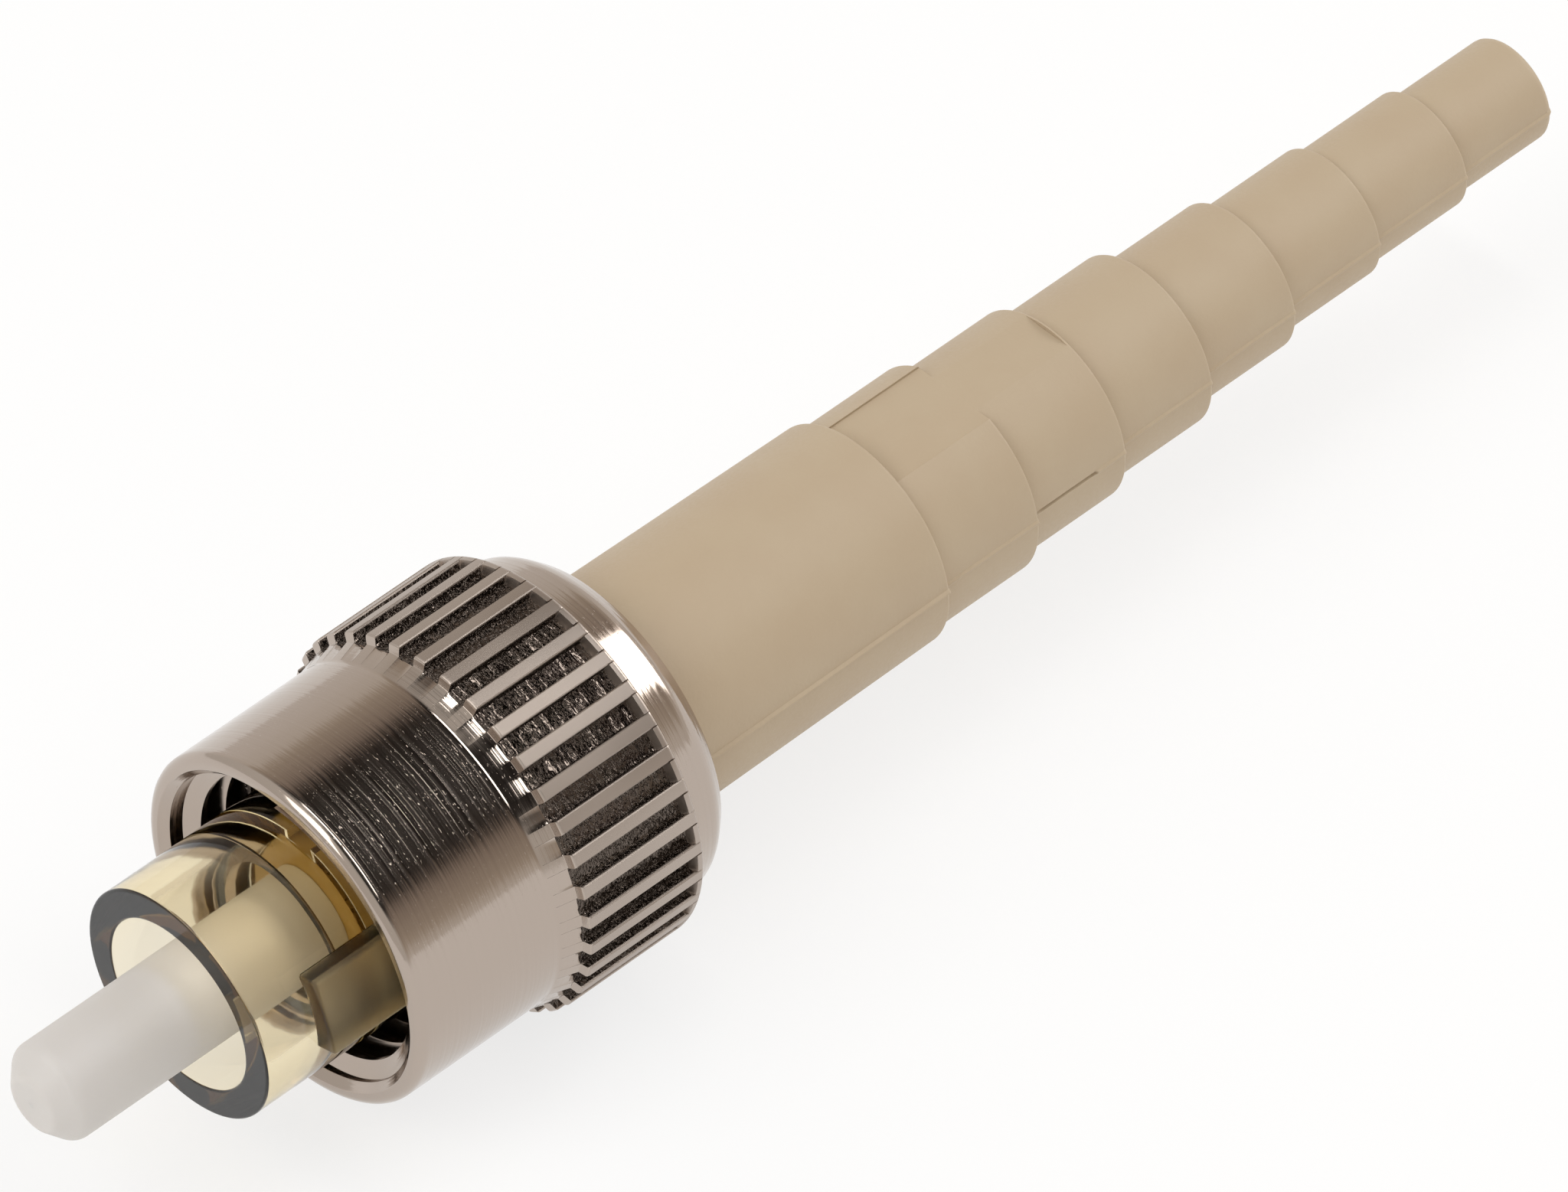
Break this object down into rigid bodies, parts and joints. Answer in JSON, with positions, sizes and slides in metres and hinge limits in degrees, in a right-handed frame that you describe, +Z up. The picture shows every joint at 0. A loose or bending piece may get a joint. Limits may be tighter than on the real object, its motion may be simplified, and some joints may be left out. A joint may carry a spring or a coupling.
{
  "type": "fc fibre connector",
  "caption": "Keyed fibre-optic plug with a sprung ceramic ferrule, a threaded coupling nut that turns and floats on its amber frame, an inner splice cam and a stepped strain-relief boot.",
  "frame": {"origin": "centre of the nose rim, on the optical axis", "axes": "-Y is the mating direction, +Y runs back to the boot's tail, and +Z is up through the boot's flat panel"},
  "size_m": [0.01, 0.0459, 0.01],
  "materials": {
    "ferrule": "ground and polished white zirconia",
    "fibre_stub": "bare cleaved glass fibre",
    "plug_frame": "clear amber moulding",
    "ferrule_holder": "amber moulding",
    "splice": "clear moulding",
    "cam_sleeve": "natural moulding",
    "crimp_tube": "drawn and annealed",
    "spring": "drawn stainless wire",
    "spring_retainer": "nickel plate on turned brass",
    "retaining_ring": "spring steel",
    "coupling_nut": "bright nickel plate on turned brass",
    "boot": "matt beige moulding"
  },
  "bodies": {
    "plug": {"plug_frame": "plug_frame", "spring_retainer": "spring_retainer", "boot": "boot"},
    "nut_carrier": {"retaining_ring": "retaining_ring"},
    "nut": {"coupling_nut": "coupling_nut"},
    "ferrule_set": {"ferrule": "ferrule", "fibre_stub": "fibre_stub", "ferrule_holder": "ferrule_holder", "splice_half_lower": "splice", "splice_half_upper": "splice", "crimp_tube": "crimp_tube", "spring": "spring"},
    "cam": {"cam_sleeve": "cam_sleeve"}
  },
  "joints": [
    {"name": "nut_float", "type": "slide", "parent": "plug", "child": "nut_carrier", "axis": [0, 1, 0], "range_m": [-0.00043, 0.00043]},
    {"name": "nut_spin", "type": "hinge", "parent": "nut_carrier", "child": "nut", "pos_m": [0, 0.008, 0], "axis": [0, 1, 0], "continuous": true},
    {"name": "ferrule_float", "type": "slide", "parent": "plug", "child": "ferrule_set", "axis": [0, 1, 0], "range_m": [0, 0.001], "stiffness_N_per_m": 5500, "deforming": ["spring"]},
    {"name": "cam_turn", "type": "hinge", "parent": "ferrule_set", "child": "cam", "pos_m": [0, 0.0166, 0], "axis": [0, 1, 0], "range_deg": [0, 90]}
  ]
}
